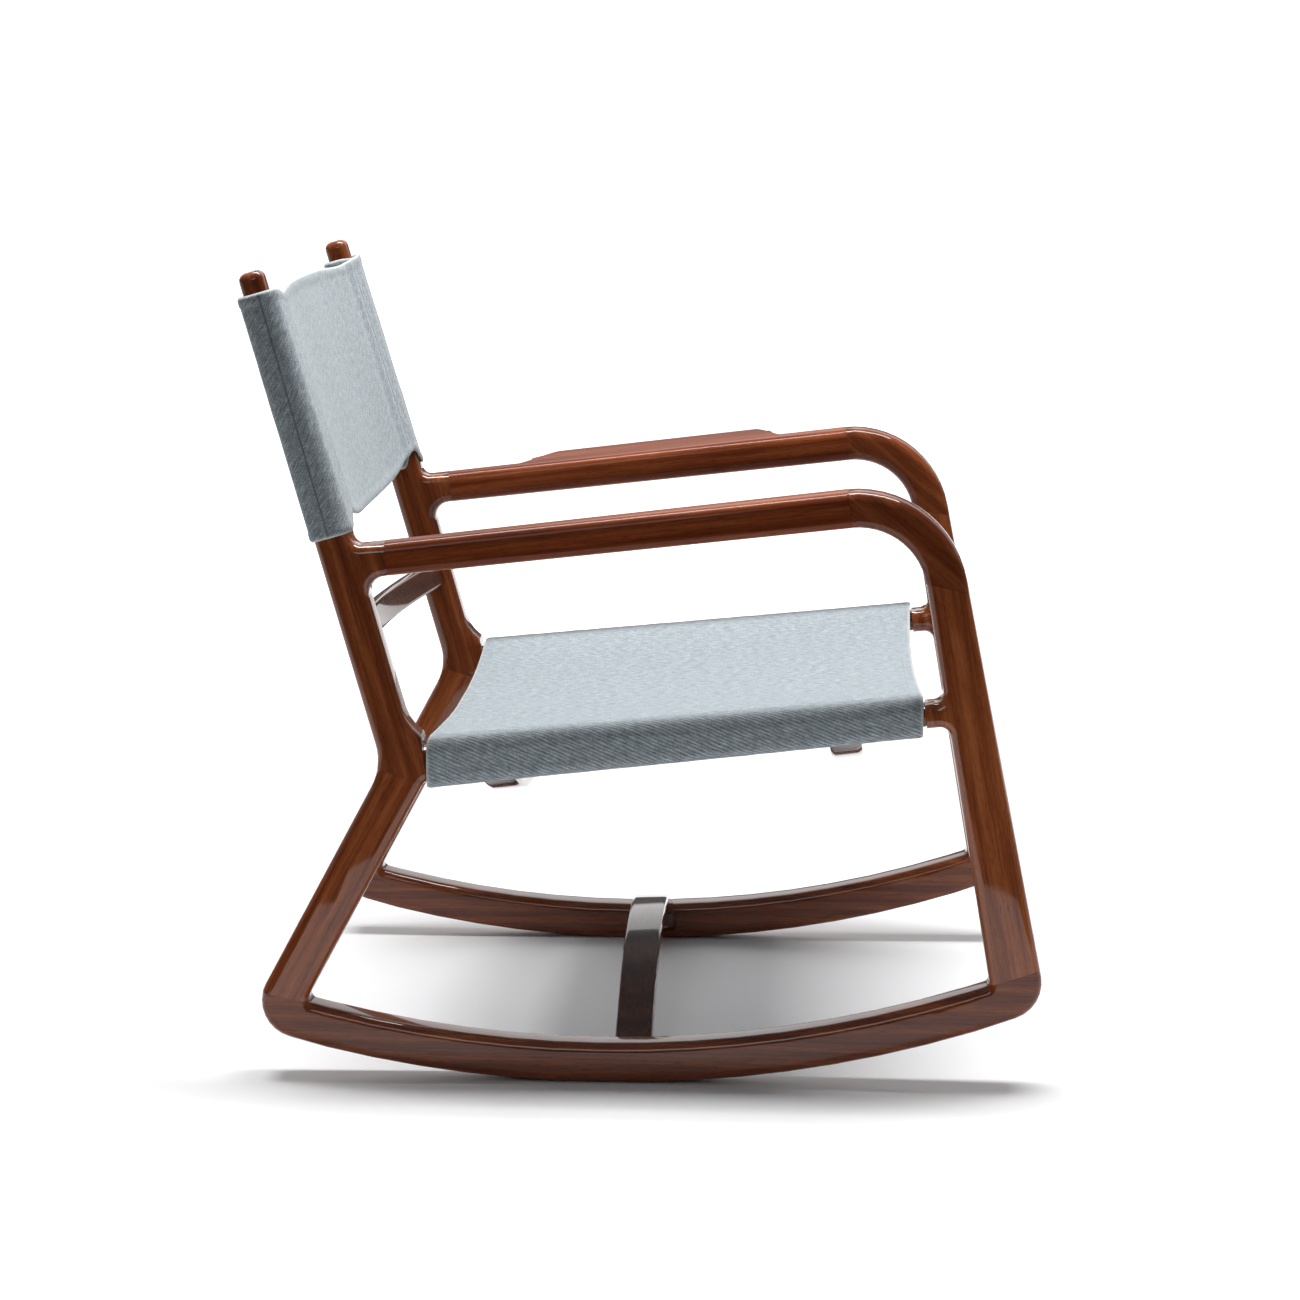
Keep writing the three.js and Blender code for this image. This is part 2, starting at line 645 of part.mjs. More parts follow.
// A hanging sheet between the two sleeves: a shallow arc across the chair, run along the sleeves.
function sheet(sag, length, thick) {
  const overlap = 6; // how far the sheet runs on over each sleeve
  const half = FRAME_SPACING / 2 - TIMBER / 2 + overlap;
  const facets = 16;
  const edge = (lift, sense) => {
    const points = [];
    for (let k = 0; k <= facets; k += 1) {
      const share = sense * ((2 * k) / facets - 1);
      points.push(point(half * share, lift - sag * (1 - share * share)));
    }
    return points;
  };
  const shape = new THREE.Shape([...edge(-thick, 1), ...edge(0, -1)]);
  return new THREE.ExtrudeGeometry(shape, { depth: length, bevelEnabled: false });
}

// Joins a panel to its two sleeves, with nothing of it left inside them.
function joinSleeves(panel, rooms, sleeve) {
  return rooms
    .reduce((cloth, room) => cloth.subtract(room), panel)
    .add(sleeve.translate([0, FRAME_SPACING / 2, 0]))
    .add(sleeve.translate([0, -FRAME_SPACING / 2, 0]));
}

const INSIDE_SLEEVE = 1; // a panel stops this much inside the ends of its sleeves

function seatSling() {
  const slope = Math.atan(RAIL_TOP.slope);
  const from = SEAT_SLING.from + INSIDE_SLEEVE;
  const length = (SEAT_SLING.to - INSIDE_SLEEVE - from) / Math.cos(slope);
  const along = new THREE.Vector3(Math.cos(slope), 0, Math.sin(slope));
  const up = new THREE.Vector3(-Math.sin(slope), 0, Math.cos(slope));
  const side = new THREE.Vector3(0, 1, 0);
  const geometry = sheet(SEAT_SLING.sag, length, CLOTH);
  geometry.translate(0, SEAT_ROOM + CLOTH, 0);
  geometry.applyMatrix4(new THREE.Matrix4().makeBasis(side, up, along));
  geometry.translate(from, 0, heightOn(RAIL_TOP, from));
  const cloth = joinSleeves(solid(geometry), [railRoom(1), railRoom(-1)], seatSleeve());
  const slot = 1; // clear space round a crossbar where it passes through the sleeve
  return cloth
    .subtract(bentBand(BARS.seat_rear_crossbar, slot))
    .subtract(bentBand(BARS.seat_front_crossbar, slot));
}

function backSling() {
  const start = onPost(BACK_SLING.from + BACK_SLING.panelLow, POST_DEPTH);
  const end = onPost(BACK_SLING.to - BACK_SLING.panelHigh, POST_TOP_DEPTH);
  const run = end.clone().sub(start).normalize();
  const along = new THREE.Vector3(run.x, 0, run.y);
  const up = new THREE.Vector3(run.y, 0, -run.x);
  const side = new THREE.Vector3(0, -1, 0);
  const geometry = sheet(BACK_SLING.bow, start.distanceTo(end), CLOTH);
  geometry.translate(0, CLOTH + CLOTH_CLEAR, 0);
  geometry.applyMatrix4(new THREE.Matrix4().makeBasis(side, up, along));
  geometry.translate(start.x, 0, start.y);
  return joinSleeves(solid(geometry), [postRoom(1), postRoom(-1)], backSleeve());
}

// ---------- materials ----------
const WOOD_ROUGHNESS = 0.22;
const FABRIC_ROUGHNESS = 0.92;
const FABRIC_TONE = 0x8b9ca6;
const CROSSBAR_TONE = 0x5a2a1b;
const TENON_TONE = 0x8a5a3a;
const TIMBER_TONES = {
  back_post: 0x6a3322,
  rear_leg: 0x70392a,
  rocker: 0x6b3526,
  front_leg: 0x713b2b,
  arm_bend: 0x693121,
  arm: 0x743620,
  seat_rail: 0x6a3324,
};

const wood = (color) =>
  new THREE.MeshStandardMaterial({ color, roughness: WOOD_ROUGHNESS, metalness: 0 });

const fabric = () =>
  new THREE.MeshStandardMaterial({ color: FABRIC_TONE, roughness: FABRIC_ROUGHNESS, metalness: 0 });

// ---------- assembly ----------
const chair = new THREE.Group();
chair.name = "rocking_chair";
const pieces = new THREE.Group();
chair.add(pieces);

function place(name, body, material) {
  const mesh = new THREE.Mesh(meshGeometry(body), material);
  mesh.name = name;
  pieces.add(mesh);
}

// Moves the pieces so that the origin is the middle of the bounding box, on the floor.
function settleOnOrigin() {
  const box = new THREE.Box3().setFromObject(pieces);
  const middle = box.getCenter(new THREE.Vector3());
  pieces.position.set(-middle.x, -middle.y, -box.min.z);
}

function addSide(side) {
  const offset = [0, (MIRROR[side] * FRAME_SPACING) / 2, 0];
  const timbers = sideTimbers();
  if (side === "left") timbers.arm = timbers.arm.add(paddleSolid());
  Object.entries(FRAME_TENONS).forEach(([name, tenon]) => {
    const mortise = frameTenon(tenon, TENON_GAP);
    Object.keys(timbers).forEach((timber) => {
      timbers[timber] = timbers[timber].subtract(mortise);
    });
    place(`${side}_${name}_tenon`, frameTenon(tenon).translate(offset), wood(TENON_TONE));
  });
  Object.entries(timbers).forEach(([name, body]) => {
    let made = body.translate(offset);
    Object.values(BARS)
      .filter((bar) => bar.joins === name)
      .forEach((bar) => {
        made = made.subtract(crossTenon(bar, side, TENON_GAP));
      });
    place(`${side}_${name}`, made, wood(TIMBER_TONES[name]));
  });
}

function addBars() {
  Object.entries(BARS).forEach(([name, bar]) => {
    let made = bentBand(bar);
    ["right", "left"].forEach((side) => {
      made = made.subtract(crossTenon(bar, side, TENON_GAP));
      place(`${side}_${name}_tenon`, crossTenon(bar, side), wood(TENON_TONE));
    });
    place(name, made, wood(CROSSBAR_TONE));
  });
}

addSide("right");
addSide("left");
addBars();
place("back_sling", backSling(), fabric());
place("seat_sling", seatSling(), fabric());
settleOnOrigin();

export default chair;
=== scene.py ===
"""Rocking lounge chair: glossy walnut side frames with a fabric back sling and a fabric seat sling.
Metres, +X to the front of the chair, +Y to the sitter's left, +Z up."""

import math

import bpy
import numpy as np
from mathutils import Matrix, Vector


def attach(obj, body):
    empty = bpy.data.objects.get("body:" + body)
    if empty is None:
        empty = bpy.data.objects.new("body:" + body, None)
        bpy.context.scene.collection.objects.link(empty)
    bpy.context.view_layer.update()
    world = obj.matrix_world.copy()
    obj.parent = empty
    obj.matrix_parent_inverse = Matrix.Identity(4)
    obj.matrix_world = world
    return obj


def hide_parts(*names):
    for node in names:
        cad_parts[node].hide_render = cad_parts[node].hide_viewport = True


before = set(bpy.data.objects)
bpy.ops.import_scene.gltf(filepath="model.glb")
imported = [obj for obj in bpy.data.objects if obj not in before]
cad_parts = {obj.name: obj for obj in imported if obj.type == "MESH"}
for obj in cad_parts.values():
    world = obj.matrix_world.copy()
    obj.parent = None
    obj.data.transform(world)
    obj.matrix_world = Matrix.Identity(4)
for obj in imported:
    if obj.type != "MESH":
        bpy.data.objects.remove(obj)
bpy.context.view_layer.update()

# ---------- the chair's own dimensions ----------
SHIFT_X, SHIFT_Y = -0.00088, -0.041  # from the drawing's axes to this frame
SPACING = 0.568  # centre to centre of the side frames
TIMBER = 0.038
POST_FOOT = (-0.265, 0.345)
POST_LEAN = math.radians(15.9)
POST_DEPTH, POST_TOP_DEPTH = 0.0365, 0.0325  # front to back, at the sling's foot and at the top
POST_TOP = 0.472
BACK_FROM, BACK_TO = 0.203, 0.449  # the back sling, along the post
SEAT_FROM, SEAT_TO = -0.2125, 0.2725  # the seat sling, front to back
CLOTH = 0.0021  # thickness of the fabric
RAIL_FROM, RAIL_TO = -0.2145, 0.275  # joints at the ends of a seat rail
RAIL_TOP_SLOPE, RAIL_UNDER_SLOPE = 0.0948, 0.1148
ARM_SLOPE = 0.118
ARM_FROM, ARM_TO = -0.250, 0.200  # joints at the ends of an arm
ROCKER_TOP = 1.160  # radius of a rocker's upper edge
ROCKER_LOW = (-0.040, 0.040)  # the lowest place of that edge
LEG_CUT_SLOPE, LEG_CUT_HEIGHT = -0.2, 0.5  # joint between a front leg and its corner block
LEG_FRONT, LEG_BACK = 0.317 - 0.2 * 0.011, 0.277 - 0.1702 * 0.016  # edges of a front leg there
KNEE_CUT = ((-0.300, 0.330), (-0.208, 0.299))  # joint at the top of a rear leg
HEEL_CUT = (-0.430, -0.323, 0.024)  # joint above a rocker: outer end, inner end, rise between them
TOE_CUT = (0.430, 0.335, 0.032)
FOOT_LIFT = 0.0005  # a foot's joint starts this far above the rocker's upper edge
GLUE_HALF = 0.00011  # half the thickness of a glue line
GLUE_BACK, GLUE_DEEP = 0.0003, 0.003  # a glue line runs from one to the other below the surface
GLUE_NEAR = 0.0005  # how far off its cut the end of a timber may lie


def straight(height, slope, start):
    """A straight edge in the side plane, as its height at any x."""
    return lambda x: height + slope * (x - start)


rail_top = straight(0.340, RAIL_TOP_SLOPE, -0.212)
rail_under = straight(0.305, RAIL_UNDER_SLOPE, -0.212)
arm_top = straight(0.546, ARM_SLOPE, -0.200)
arm_under = straight(0.513, 0.111, -0.197)


# ---------- camera ----------
def add_camera():
    data = bpy.data.cameras.new("camera")
    data.lens = 94.15
    data.sensor_width = 36.0
    data.clip_end = 100.0
    camera = bpy.data.objects.new("camera", data)
    camera.location = (0.1774, -3.5905, 1.0011)
    down, aside = math.radians(9.83), math.radians(3.02)
    camera.rotation_euler = (math.radians(90) - down, 0, aside)
    bpy.context.scene.collection.objects.link(camera)
    bpy.context.scene.camera = camera


# ---------- node helpers ----------
def node(tree, kind, links=None, **settings):
    """A new node. settings set its own properties; links maps an input to a value or a socket."""
    made = tree.nodes.new(kind)
    for name, value in settings.items():
        setattr(made, name, value)
    for name, value in (links or {}).items():
        socket = made.inputs[name]
        if isinstance(value, bpy.types.NodeSocket):
            tree.links.new(value, socket)
        else:
            socket.default_value = value
    return made


def math_node(tree, operation, a, b=0.0):
    return node(tree, "ShaderNodeMath", {0: a, 1: b}, operation=operation).outputs[0]


def ramp(tree, factor, stops):
    made = node(tree, "ShaderNodeValToRGB", {"Fac": factor})
    elements = made.color_ramp.elements
    while len(elements) < len(stops):
        elements.new(0.5)
    for element, (place, colour) in zip(elements, stops):
        element.position = place
        element.color = (*colour, 1.0)
    return made.outputs["Color"]


def blank_material(name):
    material = bpy.data.materials.new(name)
    material.use_nodes = True
    return material, material.node_tree, material.node_tree.nodes["Principled BSDF"]


# ---------- wood ----------
WALNUT_DARK = (0.066, 0.0125, 0.0030)
WALNUT_MID = (0.140, 0.0340, 0.0090)
WALNUT_LIGHT = (0.240, 0.0720, 0.0230)


def walnut(name, turn, seed, lift, red, coat):
    """Lacquered walnut whose grain runs along X once turned by the given rotation."""
    material, tree, shader = blank_material(name)
    place = node(tree, "ShaderNodeTexCoord").outputs["Object"]
    turned = node(
        tree,
        "ShaderNodeMapping",
        {"Vector": place, "Rotation": turn, "Location": (seed * 1.7, seed * 0.31, seed * 0.53)},
    ).outputs[0]

    def tinted(colour):
        r, g, b = colour
        return (r * lift, g * lift / red, b * lift / red)

    def stretched(scale):
        return node(tree, "ShaderNodeMapping", {"Vector": turned, "Scale": scale}).outputs[0]

    def noise(scale, detail, roughness, distortion=0.0):
        links = {
            "Vector": stretched(scale),
            "Scale": 1.0,
            "Detail": detail,
            "Roughness": roughness,
            "Distortion": distortion,
        }
        return node(tree, "ShaderNodeTexNoise", links).outputs[0]

    figure = noise((3.0, 24.0, 24.0), 4.0, 0.6, 0.8)
    streak = noise((11.0, 330.0, 330.0), 4.0, 0.65)
    pore = noise((85.0, 1700.0, 1700.0), 2.0, 0.5)
    rings = node(
        tree,
        "ShaderNodeTexWave",
        {
            "Vector": stretched((2.6, 34.0, 40.0)),
            "Scale": 0.42,
            "Distortion": 9.0,
            "Detail": 4.0,
            "Detail Scale": 0.7,
        },
        bands_direction="Z",
    ).outputs["Fac"]
    body = math_node(tree, "MULTIPLY", figure, 0.40)
    body = math_node(tree, "ADD", body, math_node(tree, "MULTIPLY", rings, 0.12))
    body = math_node(tree, "ADD", body, math_node(tree, "MULTIPLY", streak, 0.48))
    stops = [(0.32, WALNUT_DARK), (0.50, WALNUT_MID), (0.70, WALNUT_LIGHT)]
    colour = ramp(tree, body, [(at, tinted(shade)) for at, shade in stops])
    open_pore = ramp(tree, pore, [(0.58, (1.0, 1.0, 1.0)), (0.68, (0.55, 0.48, 0.44))])
    mixed = node(tree, "ShaderNodeMix", {"Factor": 1.0}, data_type="RGBA", blend_type="MULTIPLY")
    tree.links.new(colour, mixed.inputs[6])
    tree.links.new(open_pore, mixed.inputs[7])
    tree.links.new(mixed.outputs[2], shader.inputs["Base Color"])
    rough = node(
        tree,
        "ShaderNodeMapRange",
        {"Value": streak, "From Min": 0.3, "From Max": 0.7, "To Min": 0.30, "To Max": 0.46},
    ).outputs[0]
    tree.links.new(rough, shader.inputs["Roughness"])
    bump = node(tree, "ShaderNodeBump", {"Strength": 0.25, "Distance": 0.0002, "Height": streak})
    tree.links.new(bump.outputs[0], shader.inputs["Normal"])
    shader.inputs["Coat Weight"].default_value = coat
    shader.inputs["Coat Roughness"].default_value = 0.05
    shader.inputs["Coat IOR"].default_value = 1.5
    shader.inputs["Specular IOR Level"].default_value = 0.05
    return material


def along_side(degrees):
    return (0.0, math.radians(degrees), 0.0)


ALONG_CHAIR_WIDTH = (0.0, 0.0, math.radians(-90))
GRAIN = {
    "back_post": 105.9,
    "rear_leg": 61.8,
    "rocker": 0.0,
    "front_leg": 100.5,
    "arm_bend": -40.0,
    "arm": 6.7,
    "seat_rail": 6.0,
}
# brightness, redness and the share of lacquer on each timber
TONE = {
    "back_post": (1.30, 1.0, 1.0),
    "rear_leg": (1.65, 0.97, 1.0),
    "rocker": (1.10, 1.06, 0.8),
    "front_leg": (1.60, 0.97, 1.0),
    "arm_bend": (1.0, 1.08, 0.6),
    "arm": (1.2, 1.15, 0.28),
    "seat_rail": (1.0, 1.0, 1.0),
}
CROSSBAR_TONE = (0.45, 1.0, 1.0)


WELD_DISTANCE = 2e-5
SHARP_ANGLE = math.radians(42)


def soften_group():
    """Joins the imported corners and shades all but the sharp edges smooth."""
    group = bpy.data.node_groups.new("soften", "GeometryNodeTree")
    group.interface.new_socket("Geometry", in_out="INPUT", socket_type="NodeSocketGeometry")
    group.interface.new_socket("Geometry", in_out="OUTPUT", socket_type="NodeSocketGeometry")
    entry = group.nodes.new("NodeGroupInput")
    leave = group.nodes.new("NodeGroupOutput")
    weld = node(
        group,
        "GeometryNodeMergeByDistance",
        {"Geometry": entry.outputs[0], "Distance": WELD_DISTANCE},
    )
    angle = group.nodes.new("GeometryNodeInputMeshEdgeAngle")
    blunt = node(
        group,
        "FunctionNodeCompare",
        {0: angle.outputs["Unsigned Angle"], 1: SHARP_ANGLE},
        data_type="FLOAT",
        operation="LESS_EQUAL",
    )
    faces = node(group, "GeometryNodeSetShadeSmooth", {0: weld.outputs[0]}, domain="FACE")
    faces.inputs["Shade Smooth"].default_value = True
    edges = node(group, "GeometryNodeSetShadeSmooth", {0: faces.outputs[0]}, domain="EDGE")
    group.links.new(blunt.outputs[0], edges.inputs["Shade Smooth"])
    group.links.new(edges.outputs[0], leave.inputs[0])
    return group


def finish_timber():
    group = soften_group()
    seed = 0
    for name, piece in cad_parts.items():
        if name.endswith("_sling"):
            continue
        seed += 1
        piece.data.materials.clear()
        side, _, part = name.partition("_")
        if name.endswith("_tenon"):
            piece.data.materials.append(tenon_wood(f"{name}_wood", seed))
        elif part in GRAIN and side in ("right", "left"):
            turn = along_side(GRAIN[part])
            piece.data.materials.append(walnut(f"{name}_wood", turn, seed, *TONE[part]))
        else:
            wood = walnut(f"{name}_wood", ALONG_CHAIR_WIDTH, seed, *CROSSBAR_TONE)
            piece.data.materials.append(wood)
        modifier = piece.modifiers.new("soften", "NODES")
        modifier.node_group = group
        weighted = piece.modifiers.new("weighted", "WEIGHTED_NORMAL")
        weighted.mode = "FACE_AREA"
        weighted.keep_sharp = True
        weighted.weight = 100


def side_cuts():
    """Each glue line: the timber it closes, and two places of its cut in the side plane."""

    def square(x, high, low, slope):
        along = math.atan(slope)
        middle = (high(x) + low(x)) / 2
        run, rise = math.sin(along), math.cos(along)
        return (x + run, middle - rise), (x - run, middle + rise)

    def foot(outer, inner, rise):
        centre_x, low = ROCKER_LOW
        drop = math.sqrt(ROCKER_TOP**2 - (inner - centre_x) ** 2)
        top = low + ROCKER_TOP - drop + FOOT_LIFT
        return (outer, top + rise), (inner, top)

    leg = math.atan(LEG_CUT_SLOPE)
    leg_middle = (LEG_FRONT + LEG_BACK) / 2
    leg_end = (leg_middle + math.cos(leg), LEG_CUT_HEIGHT + math.sin(leg))
    rail_slope = (RAIL_TOP_SLOPE + RAIL_UNDER_SLOPE) / 2
    return [
        ("arm", square(ARM_FROM, arm_top, arm_under, ARM_SLOPE)),
        ("arm_bend", square(ARM_TO, arm_top, arm_under, ARM_SLOPE)),
        ("seat_rail", square(RAIL_FROM, rail_top, rail_under, rail_slope)),
        ("seat_rail", square(RAIL_TO, rail_top, rail_under, rail_slope)),
        ("front_leg", ((leg_middle, LEG_CUT_HEIGHT), leg_end)),
        ("rear_leg", KNEE_CUT),
        ("rear_leg", foot(*HEEL_CUT)),
        ("front_leg", foot(*TOE_CUT)),
    ]


def hull(flat):
    """The convex outline of some 2-D points, anticlockwise."""
    ordered = sorted(set((round(float(a), 6), round(float(b), 6)) for a, b in flat))

    def half(run):
        kept = []
        for p in run:
            while len(kept) > 1:
                (ax, ay), (bx, by) = kept[-2], kept[-1]
                if (bx - ax) * (p[1] - ay) - (by - ay) * (p[0] - ax) > 1e-12:
                    break
                kept.pop()
            kept.append(p)
        return kept[:-1]

    return np.array(half(ordered) + half(ordered[::-1]))


def add_glue_lines():
    """Thin dark lines of glue that close the joints between the timbers of each side frame."""
    points, faces = [], []
    for side in ("right", "left"):
        for part, (one, two) in side_cuts():
            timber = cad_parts[f"{side}_{part}"]
            places = [timber.matrix_world @ v.co for v in timber.data.vertices]
            run = Vector((two[0] - one[0], 0.0, two[1] - one[1])).normalized()
            normal = Vector((run.z, 0.0, -run.x))
            base = Vector((one[0] + SHIFT_X, 0.0, one[1]))
            near = [p for p in places if abs((p - base).dot(normal)) < GLUE_NEAR]
            flat = hull([((p - base).dot(run), p.y) for p in near])
            middle = flat.mean(axis=0)
            reach = np.linalg.norm(flat - middle, axis=1, keepdims=True)
            outer = middle + (flat - middle) * (1 - GLUE_BACK / reach)
            inner = middle + (flat - middle) * (1 - GLUE_DEEP / reach)
            start, count = len(points), len(flat)
            for ring, level in ((outer, 1), (outer, -1), (inner, -1), (inner, 1)):
                for a, b in ring:
                    place = base + run * float(a) + normal * (level * GLUE_HALF)
                    points.append((place.x, float(b), place.z))
            for k in range(4):
                for i in range(count):
                    j = (i + 1) % count
                    here, ahead = start + k * count, start + (k + 1) % 4 * count
                    faces.append([here + j, here + i, ahead + i, ahead + j])
    material, tree, shader = blank_material("dark_glue")
    place = node(tree, "ShaderNodeTexCoord").outputs["Object"]
    speck = node(tree, "ShaderNodeTexNoise", {"Vector": place, "Scale": 900.0}).outputs[0]
    colour = ramp(tree, speck, [(0.3, (0.018, 0.006, 0.003)), (0.7, (0.040, 0.014, 0.007))])
    tree.links.new(colour, shader.inputs["Base Color"])
    shader.inputs["Roughness"].default_value = 0.4
    piece = mesh_object("glue_lines", points, faces, material)
    piece.data.polygons.foreach_set("use_smooth", [False] * len(piece.data.polygons))
    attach(piece, "root")


def tenon_wood(name, seed):
    """Plain beech, left unfinished inside its mortise."""
    material, tree, shader = blank_material(name)
    place = node(tree, "ShaderNodeTexCoord").outputs["Object"]
    fine = node(
        tree,
        "ShaderNodeMapping",
        {"Vector": place, "Scale": (240.0, 240.0, 240.0), "Location": (seed, 0.0, 0.0)},
    ).outputs[0]
    fleck = node(tree, "ShaderNodeTexNoise", {"Vector": fine, "Detail": 3.0}).outputs[0]
    colour = ramp(tree, fleck, [(0.35, (0.36, 0.19, 0.09)), (0.65, (0.47, 0.27, 0.14))])
    tree.links.new(colour, shader.inputs["Base Color"])
    shader.inputs["Roughness"].default_value = 0.75
    return material


# ---------- fabric ----------
CLOTH_DARK = (0.060, 0.076, 0.092)
CLOTH_MID = (0.250, 0.290, 0.314)
CLOTH_LIGHT = (0.640, 0.700, 0.730)
# painted shade: the dark colour laid along the groove in the middle of a sewn seam
SEAM_GROOVE_SHADE_COLOUR = (0.085, 0.100, 0.115, 1.0)
CUT_EDGE_COLOUR = (0.62, 0.64, 0.62, 1.0)


def twill(name, lean, rib_scale, rib_weight):
    """Heathered blue-grey twill. lean is the angle of its ribs in the cloth's own flat plane."""
    material, tree, shader = blank_material(name)
    flat = node(tree, "ShaderNodeUVMap", uv_map="cloth").outputs[0]
    turned = node(tree, "ShaderNodeMapping", {"Vector": flat, "Rotation": (0, 0, lean)}).outputs[0]

    def noise(vector, scale, detail, roughness):
        links = {"Vector": vector, "Scale": scale, "Detail": detail, "Roughness": roughness}
        return node(tree, "ShaderNodeTexNoise", links).outputs[0]

    def stretched(scale):
        return node(tree, "ShaderNodeMapping", {"Vector": turned, "Scale": scale}).outputs[0]

    rib = node(
        tree,
        "ShaderNodeTexWave",
        {
            "Vector": stretched((60.0, 280.0, 1.0)),
            "Scale": rib_scale,
            "Distortion": 3.2,
            "Detail": 3.0,
            "Detail Scale": 2.2,
        },
        bands_direction="Y",
    ).outputs["Fac"]
    streak = noise(stretched((95.0, 480.0, 1.0)), 1.0, 3.0, 0.6)
    speck = noise(flat, 560.0, 3.0, 0.7)
    heather = noise(flat, 120.0, 4.0, 0.65)
    tone = math_node(tree, "MULTIPLY", rib, rib_weight)
    tone = math_node(tree, "ADD", tone, math_node(tree, "MULTIPLY", streak, 0.36))
    tone = math_node(tree, "ADD", tone, math_node(tree, "MULTIPLY", speck, 0.46 - rib_weight))
    tone = math_node(tree, "ADD", tone, math_node(tree, "MULTIPLY", heather, 0.18))
    colour = ramp(tree, tone, [(0.30, CLOTH_DARK), (0.50, CLOTH_MID), (0.72, CLOTH_LIGHT)])
    # painted shade: the seam attribute darkens the cloth along the seam's groove
    seam = node(tree, "ShaderNodeAttribute", attribute_name="seam").outputs["Fac"]
    sewn = node(tree, "ShaderNodeMix", {"Factor": seam}, data_type="RGBA")
    tree.links.new(colour, sewn.inputs[6])
    sewn.inputs[7].default_value = SEAM_GROOVE_SHADE_COLOUR
    edge = node(tree, "ShaderNodeAttribute", attribute_name="cut_edge").outputs["Fac"]
    pale = node(tree, "ShaderNodeMix", {"Factor": edge}, data_type="RGBA")
    tree.links.new(sewn.outputs[2], pale.inputs[6])
    pale.inputs[7].default_value = CUT_EDGE_COLOUR
    tree.links.new(pale.outputs[2], shader.inputs["Base Color"])
    rib_height = math_node(tree, "MULTIPLY", rib, 2.2 * rib_weight)
    height = math_node(tree, "ADD", rib_height, math_node(tree, "MULTIPLY", speck, 0.6))
    bump = node(tree, "ShaderNodeBump", {"Strength": 0.7, "Distance": 0.0006, "Height": height})
    tree.links.new(bump.outputs[0], shader.inputs["Normal"])
    shader.inputs["Roughness"].default_value = 0.92
    shader.inputs["Sheen Weight"].default_value = 0.25
    shader.inputs["Sheen Roughness"].default_value = 0.5
    shader.inputs["Specular IOR Level"].default_value = 0.2
    return material


def thread_material():
    material, tree, shader = blank_material("sling_thread")
    place = node(tree, "ShaderNodeTexCoord").outputs["Object"]
    links = {"Vector": place, "Scale": 2500.0, "Detail": 2.0}
    fibre = node(tree, "ShaderNodeTexNoise", links).outputs[0]
    colour = ramp(tree, fibre, [(0.35, (0.22, 0.26, 0.29)), (0.65, (0.42, 0.47, 0.50))])
    tree.links.new(colour, shader.inputs["Base Color"])
    shader.inputs["Roughness"].default_value = 0.7
    return material


def mesh_object(name, points, faces, material):
    mesh = bpy.data.meshes.new(name)
    mesh.from_pydata([tuple(p) for p in points], [], faces)
    mesh.polygons.foreach_set("use_smooth", [True] * len(mesh.polygons))
    mesh.materials.append(material)
    mesh.update()
    made = bpy.data.objects.new(name, mesh)
    bpy.context.scene.collection.objects.link(made)
    return made


def arc(centre, radius, start, end, steps):
    angles = np.radians(np.linspace(start, end, steps))
    return np.array(centre) + radius * np.stack([np.cos(angles), np.sin(angles)], axis=1)


def distances(line):
    """How far along the line each of its points lies."""
    lengths = np.linalg.norm(np.diff(line, axis=0), axis=1)
    return np.concatenate([[0.0], np.cumsum(lengths)])


def strip(side, panel):
    """One row of a sling, right edge to left, with the distances along it. side is the cloth
    round one timber, measured from the timber's middle."""
    right_edge = np.stack([side[:, 0] - SPACING / 2, side[:, 1]], axis=1)
    left_edge = right_edge[::-1] * np.array([-1.0, 1.0])
    line = np.concatenate([right_edge, panel, left_edge])
    return line, distances(line)


def evenly(line, count, extra=()):
    """Points evenly spaced along the line, and more at the extra distances."""
    along = distances(line)
    at = np.sort(np.concatenate([np.linspace(0.0, along[-1], count), extra]))
    return np.stack([np.interp(at, along, line[:, k]) for k in range(2)], axis=1)


def wrap_line(half, low, high, flap, corner_low, corner_high):
    """The path of the fabric round one timber, in the timber's cross-section, from the seam to the
    panel. Across is towards the middle of the chair; up is towards the panel's face. The seam lies
    just behind the panel."""
    behind = high - CLOTH * 1.25
    soft = 0.004
    parts = [
        np.array([[half + flap, behind - 0.0002]]),
        np.array([[half + soft, behind]]),
        arc((half + soft, behind - soft), soft, 90, 180, 6)[1:],
        arc((half - corner_low, low + corner_low), corner_low, 0, -90, 9),
        arc((-half + corner_low, low + corner_low), corner_low, -90, -180, 9),
        arc((-half + corner_high, high - corner_high), corner_high, 180, 90, 9),
        np.array([[half - 0.004, high]]),
    ]
    return np.concatenate(parts)


HEM_THICK = 0.0011  # what the turned hem adds to the cloth
HEM_FADE = 0.0022  # over this distance the hem comes down to the single cloth
EDGE_ROUND = 0.0017  # how far the free edge is rounded off
GROOVE_INSET = 0.003  # a groove runs this far inside the hem's end
GROOVE_DEEP, GROOVE_WIDE = 0.00045, 0.0012
PALE_EDGE = 0.0016  # width of the paler cut edge
WELT_HIGH, WELT_WIDE = 0.0007, 0.0042  # a sewn seam's welt
SEAM_DEEP, SEAM_WIDE = 0.0012, 0.0008  # the groove along the middle of that welt


